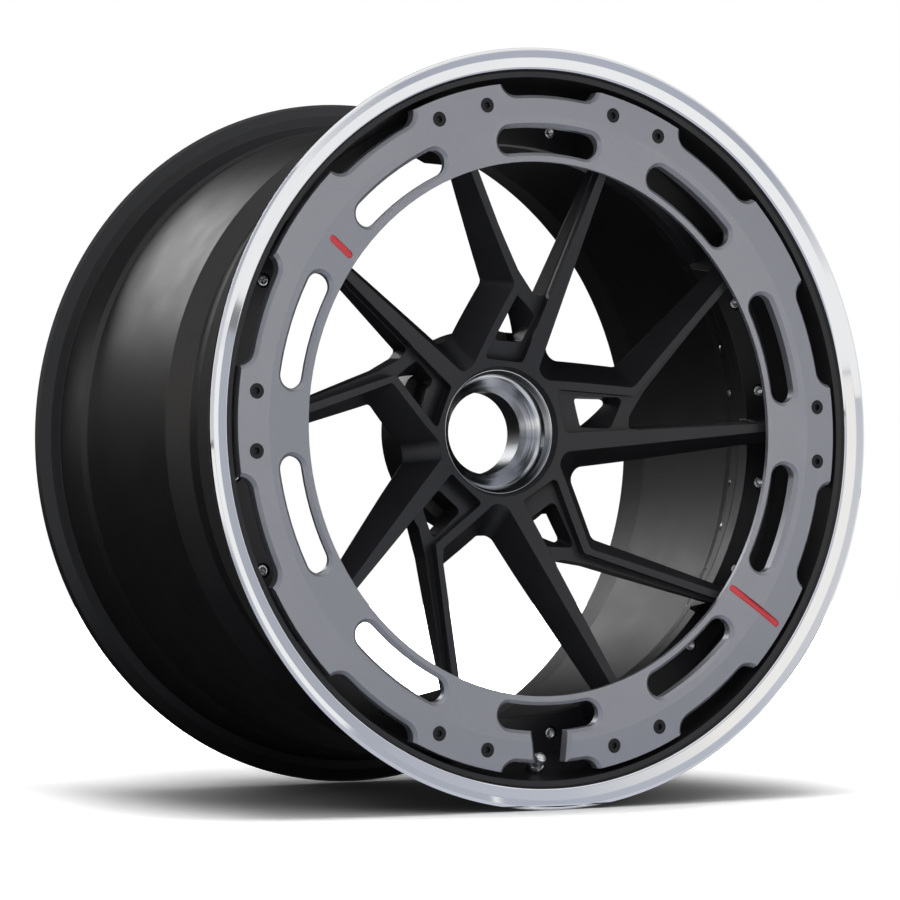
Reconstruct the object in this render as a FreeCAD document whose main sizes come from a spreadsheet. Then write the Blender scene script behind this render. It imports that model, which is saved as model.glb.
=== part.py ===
import FreeCAD
import Part
import Sketcher
import math
import os

# A three-piece forged car wheel with a centre lock. The axle runs along Y and the show face looks along -Y.
# Lengths are in mm and angles in degrees. Names ending in _y are places along the axle, measured inboard
# from the face of the slotted ring; screw_plane puts that face into the wheel's own frame, whose origin is
# the middle of the wheel.
SIZES = {
    "screw_plane": -158.5,
    # slotted ring plate
    "ring_outer": 259.0, "ring_inner": 200.6, "ring_crease": 234.5, "ring_back": 226.0,
    "ring_face_y": 0.0, "ring_inner_y": 4.8, "ring_inner_back_y": 8.4, "ring_back_y": 11.0,
    "ring_bevel": 2.6, "slot_mid": 216.9, "slot_half": 9.6, "slot_turn": 9.05,
    "notch_mid": 262.0, "notch_half": 12.0, "notch_turn": 6.7,
    "gap_narrow": 12.6, "gap_wide": 15.9, "gap_top": -225.0, "gap_foot": -256.0,
    # countersunk screws of the ring
    "screw_circle": 245.0, "screw_turn": 5.0, "screw_hole": 3.0, "screw_shank": 2.9, "screw_sink": 2.75,
    "thread_hole": 2.9,
    "screw_head": 5.7, "screw_end_y": 21.0,
    # red enamel marks in the ring
    "mark_floor_y": 6.2, "mark_half": 2.7, "mark_sunk": 0.3,
    "short_in": 208.2, "short_out": 226.3, "long_in": 205.2, "long_out": 251.8,
    # dish of the forged centre: a plain cone in front, a stepped back
    "dish_ref": 60.0, "dish_ref_y": 70.0, "dish_slope": 0.3455,
    "hub_bore": 47.0, "hub_mouth": 50.2, "hub_outer": 80.0, "hub_back_y": 121.0,
    "arm_back_1": 112.0, "arm_back_1_y": 77.6, "arm_back_2": 209.0, "arm_back_2_y": 35.3,
    "foot_in": 214.5, "foot_in_y": 64.0,
    # bolted flanges, front to back: centre, lip, barrel
    "flange_in": 220.0, "flange_out": 248.8, "flange_front_y": 62.0, "flange_back_y": 72.0,
    "lip_flange_in": 223.0, "joint_y": 79.0, "barrel_flange_y": 86.0,
    "bolt_circle": 234.8, "bolt_hole": 3.1, "bolt_shank": 3.0, "bolt_head": 5.2, "bolt_seat": 5.6,
    "bolt_seat_depth": 6.0, "bolt_head_y": 62.6, "bolt_end_y": 103.5, "nut_back_y": 97.0,
    "rear_start_y": 67.0, "rear_head_back_y": 100.0,
    # spokes, sunk pocket and window
    "pocket_depth": 8.5, "face_lap": 1.0, "window_floor_y": 70.0, "window_deep": 18.0,
    "root_round": 9.0, "knee_round": 7.0, "web_round": 2.5, "blunt_round": 4.0, "ledge_round": 10.0,
    "window_round": 3.5, "pocket_round": 3.0, "wide_front_y": 9.0, "wide_back_y": 125.0,
    "narrow_front_y": 9.0, "narrow_back_y": 95.0,
    # drafts of the walls that drop from the spokes' front edges, in mm sideways per mm of depth
    "straight_draft": 0.52, "kinked_in_draft": 0.75, "kinked_out_draft": 0.45, "inner_draft": 0.12,
    "ledge_draft": 0.06, "web_draft": 0.06,
    "pad_in": 238.0, "pad_out": 252.0, "pad_turn": 6.4, "pad_back_y": 23.0,
    # hub insert and drive bushes
    "insert_face_y": 81.5, "insert_rim": 45.4, "insert_rim_y": 86.6, "cone_out": 41.5, "cone_out_y": 90.0,
    "bore": 32.0, "cone_in_y": 101.2,
    "pin_circle": 63.0, "pin_turn": 18.0, "bush_hole": 8.02, "bush_outer": 8.0, "bush_bore": 5.5,
    "bush_depth": 18.0,
    # outer lip, from the bolt flange out to the edge and back along the tyre side
    "lip_reg": 249.0, "lip_wall": 263.3, "lip_wall_y": 1.4, "lip_step": 267.2, "lip_step_y": 0.2,
    "lip_roll": 271.8, "lip_roll_y": -0.3, "lip_flare": 278.2, "lip_flare_y": -3.3,
    "lip_edge": 282.2, "lip_edge_y": -9.0, "lip_tip": 284.2, "lip_tip_y": -7.4, "lip_heel": 283.4,
    "lip_heel_y": -3.6, "lip_bead_top": 277.0, "lip_bead_top_y": 3.0, "lip_bead": 268.0, "lip_bead_y": 5.6,
    "lip_seat": 266.4, "lip_seat_y": 9.0, "lip_hump": 264.8, "lip_hump_y": 36.0,
    "lip_neck": 254.5, "lip_neck_y": 60.0,
    # inner barrel
    "well": 245.0, "well_end_y": 113.5, "drum_front": 255.8, "drum_front_y": 133.1,
    "drum_back": 257.0, "drum_back_y": 281.0, "seat_front": 259.8, "seat_front_y": 287.0,
    "seat_back": 265.5, "seat_back_y": 316.0, "rear_bead": 273.0, "rear_bead_y": 317.0,
    "rear_heel": 281.5, "rear_heel_y": 321.0, "rear_tip": 283.8, "rear_tip_y": 324.4,
    "rear_edge": 282.0, "rear_edge_y": 326.0, "rear_flare": 274.0, "rear_flare_y": 324.0,
    "mouth": 267.8, "mouth_y": 321.5, "mouth_in": 261.2, "mouth_in_y": 310.0,
    "inner_step": 253.4, "inner_back": 251.2, "inner_step_y": 263.0,
    "inner_front": 250.4, "inner_front_y": 136.0, "well_in": 240.6, "well_in_y": 115.5,
    "seal": 4.0,
    # tyre valve, leaning forward out of the lip wall at six o'clock
    "valve_tilt": 47.8, "valve_z": -256.9, "valve_y": 27.6, "grommet": 6.0, "grommet_out": 4.5,
    "grommet_in": 15.0, "stem": 3.4, "stem_long": 28.0, "stem_in": 17.0,
    "valve_nut": 6.2, "valve_nut_high": 3.0, "cap": 4.6, "cap_long": 9.0, "cap_at": 7.9,
}

# Edges of one spoke pair seen from the front: u runs out along the straight spoke, v runs clockwise.
# Each edge is u, v at its inner end and u, v at its outer end.
STRAIGHT_CCW = ((60.0, -0.2), (195.0, -8.4))
STRAIGHT_CW = ((60.0, 14.1), (195.0, -0.8))
KINKED_IN_CCW = ((55.0, -39.5), (106.2, -35.4))
KINKED_IN_CW = ((55.0, -33.1), (107.5, -29.0))
KINKED_OUT_CCW = ((110.0, -40.5), (195.0, -153.0))
KINKED_OUT_CW = ((110.0, -32.2), (195.0, -142.9))
LEDGE = ((112.0, -24.4), (162.0, -94.4))
WEB_END = ((107.6, -3.0), (108.4, -19.0))
WEB_CORNER = ((108.0, -13.5), (121.0, -38.0))
POCKET_HUB = ((48.0, -32.6), (56.0, -0.2))
WINDOW_FRONT = ((64.5, -29.0), (71.0, -4.4), (92.0, -4.0), (101.8, -27.8))
WINDOW_BACK = ((65.5, -28.4), (71.8, -5.0), (81.0, -4.8), (99.6, -27.0))
PAIRS = 5
PAIR_TURN = 360.0 / PAIRS


def dish_y(radius):
    """Place along the axle of the centre's front cone at a radius."""
    return SIZES["dish_ref_y"] - SIZES["dish_slope"] * (radius - SIZES["dish_ref"])


def turned(point, degrees):
    """A plan point turned clockwise about the axle."""
    angle = math.radians(degrees)
    u, v = point
    return (u * math.cos(angle) - v * math.sin(angle), u * math.sin(angle) + v * math.cos(angle))


def polar(radius, degrees):
    """A plan point at a radius, clockwise from the straight spoke."""
    return turned((radius, 0.0), degrees)


def trace(edge, draft, inward, depth, level):
    """Where the wall that drops from an edge of the cone, with a draft, crosses a plane across the axle."""
    (u1, v1), (u2, v2) = edge
    length = math.hypot(u2 - u1, v2 - v1)
    normal = ((v1 - v2) / length * inward, (u2 - u1) / length * inward)
    line = []
    for u, v in edge:
        drop = level - (dish_y(math.hypot(u, v)) + depth)
        line.append((u + normal[0] * draft * drop, v + normal[1] * draft * drop))
    return line


def crossing(first, second):
    """The point where two plan lines meet."""
    (x1, y1), (x2, y2) = first
    (x3, y3), (x4, y4) = second
    a1, b1 = y2 - y1, x1 - x2
    a2, b2 = y4 - y3, x3 - x4
    c1, c2 = a1 * x1 + b1 * y1, a2 * x3 + b2 * y3
    det = a1 * b2 - a2 * b1
    return ((b2 * c1 - b1 * c2) / det, (a1 * c2 - a2 * c1) / det)


def chord(distance, degrees):
    """A straight outer limit, square to a direction in the plan."""
    middle = polar(distance, degrees)
    side = polar(1.0, degrees + 90.0)
    return (middle, (middle[0] + side[0], middle[1] + side[1]))


def store(name, points):
    """Keeps plan points as sizes; returns their names, in the front view's right and up."""
    names = []
    for i, (u, v) in enumerate(points, 1):
        SIZES[f"{name}_{i}_right"] = round(u, 4)
        SIZES[f"{name}_{i}_up"] = round(-v, 4)
        names.append((f"{name}_{i}_right", f"{name}_{i}_up"))
    return names


def next_pair(edge):
    """The same edge on the next spoke pair clockwise."""
    return tuple(turned(point, PAIR_TURN) for point in edge)


# Plan outlines of the large openings at a plane in front of and a plane behind the centre. Their walls have
# draft, so that the spokes are narrow in front and wider behind.
wide_names = {}
narrow_names = {}
for side in ("front", "back"):
    level = SIZES[f"wide_{side}_y"]
    straight = trace(STRAIGHT_CW, SIZES["straight_draft"], 1, 0.0, level)
    kinked_in = trace(next_pair(KINKED_IN_CCW), SIZES["kinked_in_draft"], -1, 0.0, level)
    kinked_out = trace(next_pair(KINKED_OUT_CCW), SIZES["kinked_out_draft"], -1, 0.0, level)
    limit = chord(275.0, 17.0)
    corners = [crossing(kinked_in, straight), crossing(straight, limit),
               crossing(limit, kinked_out), crossing(kinked_out, kinked_in)]
    wide_names[side] = store(f"wide_{side}", corners)
    level = SIZES[f"narrow_{side}_y"]
    straight = trace(STRAIGHT_CCW, SIZES["inner_draft"], -1, SIZES["pocket_depth"] / 2.0, level)
    ledge = trace(LEDGE, SIZES["ledge_draft"], 1, SIZES["pocket_depth"], level)
    web = trace(WEB_END, SIZES["web_draft"], 1, SIZES["pocket_depth"], level)
    blunt = trace(WEB_CORNER, SIZES["web_draft"], 1, SIZES["pocket_depth"], level)
    limit = chord(275.0, -18.0)
    corners = [crossing(web, straight), crossing(straight, limit), crossing(limit, ledge),
               crossing(ledge, blunt), crossing(blunt, web)]
    narrow_names[side] = store(f"narrow_{side}", corners)


# The window between the two spokes is cut with slanting walls; its outlines are given at the pocket floor and
# at the back, and carried on in a straight line to the two cutting planes.
window_names = {"front": [], "back": []}
for side, carried in (("front", -0.5), ("back", 1.5)):
    window_names[side] = store(f"window_{side}", [
        (u1 + (u2 - u1) * carried, v1 + (v2 - v1) * carried)
        for (u1, v1), (u2, v2) in zip(WINDOW_FRONT, WINDOW_BACK)])
    SIZES[f"window_{side}_y"] = SIZES["window_floor_y"] + SIZES["window_deep"] * carried

# Where the spokes' feet stand on the bolt flange, the openings are straight-sided.
foot_wide_names = store("foot_wide",
                        [polar(203.0, 2.0), polar(262.0, 0.6), polar(262.0, 31.1), polar(203.0, 34.8)])
foot_narrow_names = store("foot_narrow",
                          [polar(203.0, -29.2), polar(262.0, -35.7), polar(262.0, -4.3), polar(203.0, -3.4)])

# The sunk pocket of each pair, cut through the front layer of the centre only.
POCKET_MIDDLE = -17.0
pocket_names = store("pocket", [
    crossing(POCKET_HUB, STRAIGHT_CCW), crossing(STRAIGHT_CCW, chord(226.0, POCKET_MIDDLE)),
    crossing(KINKED_OUT_CW, chord(226.0, POCKET_MIDDLE)), crossing(KINKED_OUT_CW, KINKED_IN_CW),
    crossing(KINKED_IN_CW, POCKET_HUB)])
for radius in ("hub_bore", "flange_out"):
    SIZES[f"{radius}_floor_y"] = round(dish_y(SIZES[radius]) + SIZES["pocket_depth"], 4)
    SIZES[f"{radius}_lap_y"] = round(SIZES[f"{radius}_floor_y"] + SIZES["face_lap"], 4)
SIZES["hub_mouth_y"] = round(dish_y(SIZES["hub_mouth"]), 4)
SIZES["seal_out"] = SIZES["well"] + SIZES["seal"]
SIZES["seal_back_y"] = SIZES["joint_y"] + SIZES["seal"]
dish_rise = SIZES["dish_ref_y"] - SIZES["ring_back_y"]
SIZES["dish_end"] = round(SIZES["dish_ref"] + dish_rise / SIZES["dish_slope"], 4)
SIZES["hub_root_y"] = round(SIZES["arm_back_1_y"] + 0.42 * (SIZES["arm_back_1"] - SIZES["hub_outer"]), 4)

# Arc cutters: radii and the sideways place of their round ends.
for cutter in ("slot", "notch"):
    SIZES[f"{cutter}_outer"] = SIZES[f"{cutter}_mid"] + SIZES[f"{cutter}_half"]
    SIZES[f"{cutter}_inner"] = SIZES[f"{cutter}_mid"] - SIZES[f"{cutter}_half"]
    reach = SIZES[f"{cutter}_mid"] * math.sin(math.radians(SIZES[f"{cutter}_turn"]))
    SIZES[f"{cutter}_right"] = round(reach, 4)
    SIZES[f"{cutter}_left"] = round(-reach, 4)
for half in ("narrow", "wide"):
    SIZES[f"gap_{half}_left"] = -SIZES[f"gap_{half}"]

# The twelve ring screws stand in pairs on six of the ten lands; clock angles from the top.
SCREW_LANDS = (-18.0, 18.0, 90.0, 162.0, 198.0, 270.0)
screw_angles = []
for land in SCREW_LANDS:
    screw_angles.append(land - SIZES["screw_turn"])
    screw_angles.append(land + SIZES["screw_turn"])
screw_names = store("screw", [polar(SIZES["screw_circle"], angle - 90.0) for angle in screw_angles])
pad_names = store("pad_hole", [polar(SIZES["screw_circle"], -SIZES["screw_turn"]),
                               polar(SIZES["screw_circle"], SIZES["screw_turn"])])
pad_corner_names = store("pad", [
    polar(SIZES["pad_in"], -SIZES["pad_turn"]), polar(SIZES["pad_out"], -SIZES["pad_turn"]),
    polar(SIZES["pad_out"], 0.0),
    polar(SIZES["pad_out"], SIZES["pad_turn"]), polar(SIZES["pad_in"], SIZES["pad_turn"])])
pin_names = store("pin", [polar(SIZES["pin_circle"], SIZES["pin_turn"])])
bolt_names = store("bolt", [polar(SIZES["bolt_circle"], 9.0)])
rear_names = store("rear", [polar(SIZES["bolt_circle"], 0.0)])
MARK_CLOCK = {"short": 306.0, "long": 126.0}
mark_names = {}
for mark, clock in MARK_CLOCK.items():
    ends = [polar(SIZES[f"{mark}_in"], clock - 90.0), polar(SIZES[f"{mark}_out"], clock - 90.0)]
    mark_names[mark] = store(f"{mark}_mark", ends)

# Trimming line of the enamel, a little under the ring's face.
face_slope = (SIZES["ring_inner_y"] - SIZES["ring_face_y"]) / (SIZES["ring_crease"] - SIZES["ring_inner"])
SIZES["trim_in"] = 195.0
SIZES["trim_out"] = 262.0
SIZES["trim_front_y"] = -3.0
SIZES["trim_face_y"] = SIZES["mark_sunk"]
SIZES["trim_in_y"] = round(SIZES["mark_sunk"] + face_slope * (SIZES["ring_crease"] - 195.0), 4)

doc = FreeCAD.newDocument("forged_wheel")
sheet = doc.addObject("Spreadsheet::Sheet", "Sizes")
for row, (name, number) in enumerate(SIZES.items(), 1):
    sheet.set(f"A{row}", name)
    sheet.set(f"B{row}", str(number))
    sheet.setAlias(f"B{row}", name)
doc.recompute()


def new_body(label):
    """A body of its own, put into the wheel's frame by the place of the ring's face."""
    body = doc.addObject("PartDesign::Body", label)
    body.Label = label
    body.setExpression("Placement.Base.y", "Sizes.screw_plane")
    return body


def origin_part(body, role):
    return [item for item in body.Origin.OriginFeatures if item.Role == role][0]


def new_sketch(body, name, role, level=None):
    """A sketch on one of the body's own planes; level names a place along the axle for a front view."""
    sketch = body.newObject("Sketcher::SketchObject", name)
    sketch.AttachmentSupport = [(origin_part(body, role), "")]
    sketch.MapMode = "FlatFace"
    if level:
        sketch.setExpression("AttachmentOffset.Base.z", f"-Sizes.{level}")
    return sketch


def tie(sketch, index, name):
    sketch.setExpression(f"Constraints[{index}]", f"Sizes.{name}")


def place(sketch, geometry, position, names):
    """Holds a point of the sketch at two sizes of the sheet."""
    for kind, name in zip(("DistanceX", "DistanceY"), names):
        index = sketch.addConstraint(Sketcher.Constraint(kind, geometry, position, SIZES[name]))
        tie(sketch, index, name)


def outline(sketch, corners):
    """A closed outline of straight edges; a corner with a third name is rounded by that radius."""
    points = [FreeCAD.Vector(SIZES[c[0]], SIZES[c[1]], 0) for c in corners]
    count = len(points)
    arrive = []
    leave = []
    arcs = {}
    for i, point in enumerate(points):
        come = (point - points[i - 1]).normalize()
        go = (points[(i + 1) % count] - point).normalize()
        arrive.append(point)
        leave.append(point)
        if len(corners[i]) == 3:
            radius = SIZES[corners[i][2]]
            left = come.cross(go).z > 0
            run = radius * math.tan(come.getAngle(go) / 2)
            arrive[i] = point - come * run
            leave[i] = point + go * run
            normal = FreeCAD.Vector(-come.y, come.x, 0) * (1 if left else -1)
            centre = arrive[i] + normal * radius
            ends = [arrive[i], leave[i]] if left else [leave[i], arrive[i]]
            angles = [math.atan2(end.y - centre.y, end.x - centre.x) for end in ends]
            circle = Part.Circle(centre, FreeCAD.Vector(0, 0, 1), radius)
            arcs[i] = (Part.ArcOfCircle(circle, angles[0], angles[1]), left)
    for i in range(count):
        sketch.addGeometry(Part.LineSegment(leave[i], arrive[(i + 1) % count]), False)
    for i in range(count):
        before = (i - 1) % count
        if i in arcs:
            arc = sketch.addGeometry(arcs[i][0], False)
            first, last = (1, 2) if arcs[i][1] else (2, 1)
            sketch.addConstraint(Sketcher.Constraint("Tangent", before, 2, arc, first))
            sketch.addConstraint(Sketcher.Constraint("Tangent", arc, last, i, 1))
            index = sketch.addConstraint(Sketcher.Constraint("Radius", arc, SIZES[corners[i][2]]))
            tie(sketch, index, corners[i][2])
            corner = sketch.addGeometry(Part.Point(points[i]), True)
            sketch.addConstraint(Sketcher.Constraint("PointOnObject", corner, 1, before))
            sketch.addConstraint(Sketcher.Constraint("PointOnObject", corner, 1, i))
            place(sketch, corner, 1, corners[i][:2])
        else:
            sketch.addConstraint(Sketcher.Constraint("Coincident", before, 2, i, 1))
            place(sketch, i, 1, corners[i])


def arc_slot(sketch, cutter):
    """A slot bent round the axle, with round ends, about the top of the wheel."""
    turn = math.radians(SIZES[f"{cutter}_turn"])
    top = math.pi / 2
    up = FreeCAD.Vector(0, 0, 1)
    outer = Part.Circle(FreeCAD.Vector(0, 0, 0), up, SIZES[f"{cutter}_outer"])
    inner = Part.Circle(FreeCAD.Vector(0, 0, 0), up, SIZES[f"{cutter}_inner"])
    sketch.addGeometry(Part.ArcOfCircle(outer, top - turn, top + turn), False)
    sketch.addGeometry(Part.ArcOfCircle(inner, top - turn, top + turn), False)
    for angle in (top + turn, top - turn):
        centre = FreeCAD.Vector(math.cos(angle), math.sin(angle), 0) * SIZES[f"{cutter}_mid"]
        start = angle if angle > top else angle + math.pi
        end = Part.Circle(centre, up, SIZES[f"{cutter}_half"])
        sketch.addGeometry(Part.ArcOfCircle(end, start, start + math.pi))
    for arc, name in ((0, "outer"), (1, "inner")):
        sketch.addConstraint(Sketcher.Constraint("Coincident", arc, 3, -1, 1))
        index = sketch.addConstraint(Sketcher.Constraint("Radius", arc, SIZES[f"{cutter}_{name}"]))
        tie(sketch, index, f"{cutter}_{name}")
    sketch.addConstraint(Sketcher.Constraint("Tangent", 0, 2, 2, 1))
    sketch.addConstraint(Sketcher.Constraint("Tangent", 2, 2, 1, 2))
    sketch.addConstraint(Sketcher.Constraint("Tangent", 1, 1, 3, 1))
    sketch.addConstraint(Sketcher.Constraint("Tangent", 3, 2, 0, 1))
    for arc, name in ((2, "left"), (3, "right")):
        index = sketch.addConstraint(Sketcher.Constraint("DistanceX", arc, 3, SIZES[f"{cutter}_{name}"]))
        tie(sketch, index, f"{cutter}_{name}")


def pill(sketch, ends, radius):
    """A straight slot with round ends about two named points."""
    first, last = [FreeCAD.Vector(SIZES[x], SIZES[y], 0) for x, y in ends]
    way = (last - first).normalize()
    side = FreeCAD.Vector(-way.y, way.x, 0) * SIZES[radius]
    heading = math.atan2(way.y, way.x)
    up = FreeCAD.Vector(0, 0, 1)
    sketch.addGeometry(Part.LineSegment(first - side, last - side), False)
    sketch.addGeometry(Part.ArcOfCircle(Part.Circle(last, up, SIZES[radius]),
                                        heading - math.pi / 2, heading + math.pi / 2), False)
    sketch.addGeometry(Part.LineSegment(last + side, first + side), False)
    sketch.addGeometry(Part.ArcOfCircle(Part.Circle(first, up, SIZES[radius]),
                                        heading + math.pi / 2, heading + 1.5 * math.pi), False)
    for here in range(4):
        sketch.addConstraint(Sketcher.Constraint("Tangent", here, 2, (here + 1) % 4, 1))
    sketch.addConstraint(Sketcher.Constraint("Equal", 1, 3))
    index = sketch.addConstraint(Sketcher.Constraint("Radius", 1, SIZES[radius]))
    tie(sketch, index, radius)
    place(sketch, 3, 3, ends[0])
    place(sketch, 1, 3, ends[1])


def circles(sketch, centres, radius):
    """Equal circles about named points."""
    for names in centres:
        centre = FreeCAD.Vector(SIZES[names[0]], SIZES[names[1]], 0)
        circle = sketch.addGeometry(Part.Circle(centre, FreeCAD.Vector(0, 0, 1), SIZES[radius]), False)
        index = sketch.addConstraint(Sketcher.Constraint("Radius", circle, SIZES[radius]))
        tie(sketch, index, radius)
        place(sketch, circle, 3, names)


def spin(body, name, corners, kind="PartDesign::Revolution"):
    """Turns a half section, given as radius and place along the axle, once round the axle."""
    sketch = new_sketch(body, name + "_section", "XY_Plane")
    outline(sketch, corners)
    feature = body.newObject(kind, name)
    feature.Profile = sketch
    feature.ReferenceAxis = (sketch, ["V_Axis"])
    feature.Angle = 360
    return feature


def sink(body, name, sketch, depth=None, outwards=False):
    """Cuts a front-view sketch inboard, or towards the show face, by a formula or right through."""
    feature = body.newObject("PartDesign::Pocket", name)
    feature.Profile = sketch
    feature.Reversed = outwards
    if depth:
        feature.setExpression("Length", depth)
    else:
        feature.Type = "ThroughAll"
    return feature


def raise_pad(body, name, sketch, height):
    """Raises a front-view sketch towards the show face by a formula of the sheet."""
    feature = body.newObject("PartDesign::Pad", name)
    feature.Profile = sketch
    feature.setExpression("Length", height)
    return feature


def around(body, name, features, count):
    """Repeats features evenly round the axle."""
    feature = body.newObject("PartDesign::PolarPattern", name)
    feature.Originals = features
    feature.Axis = (origin_part(body, "Y_Axis"), [""])
    feature.Angle = 360
    feature.Occurrences = count
    body.Tip = feature
    return feature


def dress(body, name, kind, base, edges, size):
    """A chamfer or fillet of a named size on the edges a test picks."""
    doc.recompute()
    picked = [f"Edge{i}" for i, edge in enumerate(base.Shape.Edges, 1) if edges(edge)]
    feature = body.newObject(kind, name)
    feature.Base = (base, picked)
    feature.setExpression("Size" if kind.endswith("Chamfer") else "Radius", f"Sizes.{size}")
    return feature


# Outer lip: flared polished flange, coned inner wall, bolt flange; the tyre side has the bead seat and hump.
lip_body = new_body("lip_turning")
spin(lip_body, "lip_turn", [
    ("lip_flange_in", "flange_back_y"), ("lip_reg", "flange_back_y"), ("lip_reg", "flange_front_y"),
    ("lip_wall", "lip_wall_y"), ("lip_step", "lip_step_y"), ("lip_roll", "lip_roll_y"),
    ("lip_flare", "lip_flare_y"), ("lip_edge", "lip_edge_y"), ("lip_tip", "lip_tip_y"),
    ("lip_heel", "lip_heel_y"), ("lip_bead_top", "lip_bead_top_y"), ("lip_bead", "lip_bead_y"),
    ("lip_seat", "lip_seat_y"), ("lip_hump", "lip_hump_y"), ("lip_neck", "lip_neck_y"),
    ("lip_neck", "joint_y"), ("lip_flange_in", "joint_y")])

# Inner barrel: bolt flange, drop well, shoulder, drum, bead seat and rear flange.
barrel = new_body("inner_barrel")
spin(barrel, "barrel_turn", [
    ("lip_flange_in", "joint_y"), ("well", "joint_y"), ("well", "well_end_y"), ("drum_front", "drum_front_y"),
    ("drum_back", "drum_back_y"), ("seat_front", "seat_front_y"), ("seat_back", "seat_back_y"),
    ("rear_bead", "rear_bead_y"), ("rear_heel", "rear_heel_y"), ("rear_tip", "rear_tip_y"),
    ("rear_edge", "rear_edge_y"), ("rear_flare", "rear_flare_y"), ("mouth", "mouth_y"),
    ("mouth_in", "mouth_in_y"), ("inner_step", "inner_step_y"), ("inner_back", "inner_step_y"),
    ("inner_front", "inner_front_y"), ("well_in", "well_in_y"), ("well_in", "barrel_flange_y"),
    ("lip_flange_in", "barrel_flange_y")])

# Seal bead in the corner between the well and the lip's bolt flange.
seal = new_body("rim_seal")
spin(seal, "seal_turn", [("well", "joint_y"), ("seal_out", "joint_y"), ("well", "seal_back_y")])

# Forged centre: the dish is turned, the spoke pairs are cut out of it, the bolt flange and pads are added.
disc = new_body("centre_disc")
spin(disc, "dish_face", [
    ("hub_bore", "insert_face_y"), ("hub_mouth", "hub_mouth_y"), ("dish_end", "ring_back_y"),
    ("flange_out", "ring_back_y"), ("flange_out", "flange_out_lap_y"), ("hub_bore", "hub_bore_lap_y")])
sketch = new_sketch(disc, "pocket_plan", "XZ_Plane")
outline(sketch, [pair + (("pocket_round",) if i in (0, 3, 4) else ()) for i, pair in enumerate(pocket_names)])
around(disc, "pockets", [sink(disc, "pocket", sketch)], PAIRS)
spin(disc, "dish_body", [
    ("hub_bore", "hub_bore_floor_y"), ("flange_out", "flange_out_floor_y"), ("flange_out", "flange_back_y"),
    ("flange_in", "flange_back_y"), ("foot_in", "foot_in_y"), ("arm_back_2", "arm_back_2_y"),
    ("arm_back_1", "arm_back_1_y"), ("hub_outer", "hub_root_y"), ("hub_outer", "hub_back_y"),
    ("hub_bore", "hub_back_y")])
openings = []
rounds = {"wide": {0: "root_round", 3: "knee_round"},
          "narrow": {0: "web_round", 3: "ledge_round", 4: "blunt_round"},
          "window": {0: "window_round", 1: "window_round", 2: "window_round", 3: "window_round"}}
for kind, names in (("wide", wide_names), ("narrow", narrow_names), ("window", window_names)):
    levels = []
    for side in ("front", "back"):
        sketch = new_sketch(disc, f"{kind}_{side}", "XZ_Plane", f"{kind}_{side}_y")
        corners = [pair + ((rounds[kind][i],) if i in rounds[kind] else ())
                   for i, pair in enumerate(names[side])]
        outline(sketch, corners)
        levels.append(sketch)
    opening = disc.newObject("PartDesign::SubtractiveLoft", f"{kind}_opening")
    opening.Profile = levels[0]
    opening.Sections = [levels[1]]
    opening.Ruled = True
    openings.append(opening)
for kind, names in (("foot_wide", foot_wide_names), ("foot_narrow", foot_narrow_names)):
    sketch = new_sketch(disc, f"{kind}_plan", "XZ_Plane")
    outline(sketch, names)
    openings.append(sink(disc, f"{kind}_opening", sketch))
around(disc, "spoke_pairs", openings, PAIRS)
spin(disc, "bolt_flange", [("flange_in", "flange_front_y"), ("flange_out", "flange_front_y"),
                           ("flange_out", "flange_back_y"), ("flange_in", "flange_back_y")])
sketch = new_sketch(disc, "pad_plan", "XZ_Plane", "pad_back_y")
outline(sketch, pad_corner_names)
pad = raise_pad(disc, "ring_pad", sketch, "Sizes.pad_back_y - Sizes.ring_back_y")
around(disc, "ring_pads", [pad], 2 * PAIRS)
sketch = new_sketch(disc, "pad_hole_plan", "XZ_Plane", "ring_face_y")
circles(sketch, pad_names, "thread_hole")
around(disc, "pad_holes", [sink(disc, "pad_hole", sketch, "Sizes.pad_back_y")], 2 * PAIRS)
sketch = new_sketch(disc, "bolt_hole_plan", "XZ_Plane")
circles(sketch, bolt_names, "bolt_hole")
hole = sink(disc, "bolt_hole_cut", sketch)
sketch = new_sketch(disc, "bolt_seat_plan", "XZ_Plane")
circles(sketch, bolt_names, "bolt_seat")
seat = sink(disc, "bolt_seat_cut", sketch, "Sizes.flange_front_y + Sizes.bolt_seat_depth")
around(disc, "bolt_holes", [hole, seat], 20)
sketch = new_sketch(disc, "rear_hole_plan", "XZ_Plane", "flange_back_y")
circles(sketch, rear_names, "bolt_hole")
hole = sink(disc, "rear_hole", sketch, "Sizes.flange_back_y - Sizes.rear_start_y", True)
around(disc, "rear_holes", [hole], 20)
sketch = new_sketch(disc, "pin_plan", "XZ_Plane", "hub_back_y")
circles(sketch, pin_names, "bush_hole")
around(disc, "pin_holes", [sink(disc, "pin_hole", sketch, "Sizes.bush_depth", True)], PAIRS)

# Bolt holes through the two rim flanges.
for body, level in ((lip_body, "flange_back_y"), (barrel, "joint_y")):
    sketch = new_sketch(body, f"{body.Label}_hole_plan", "XZ_Plane", level)
    circles(sketch, bolt_names + rear_names, "bolt_hole")
    hole = sink(body, f"{body.Label}_hole", sketch, "Sizes.joint_y - Sizes.flange_back_y + 1")
    around(body, f"{body.Label}_holes", [hole], 20)

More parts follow.
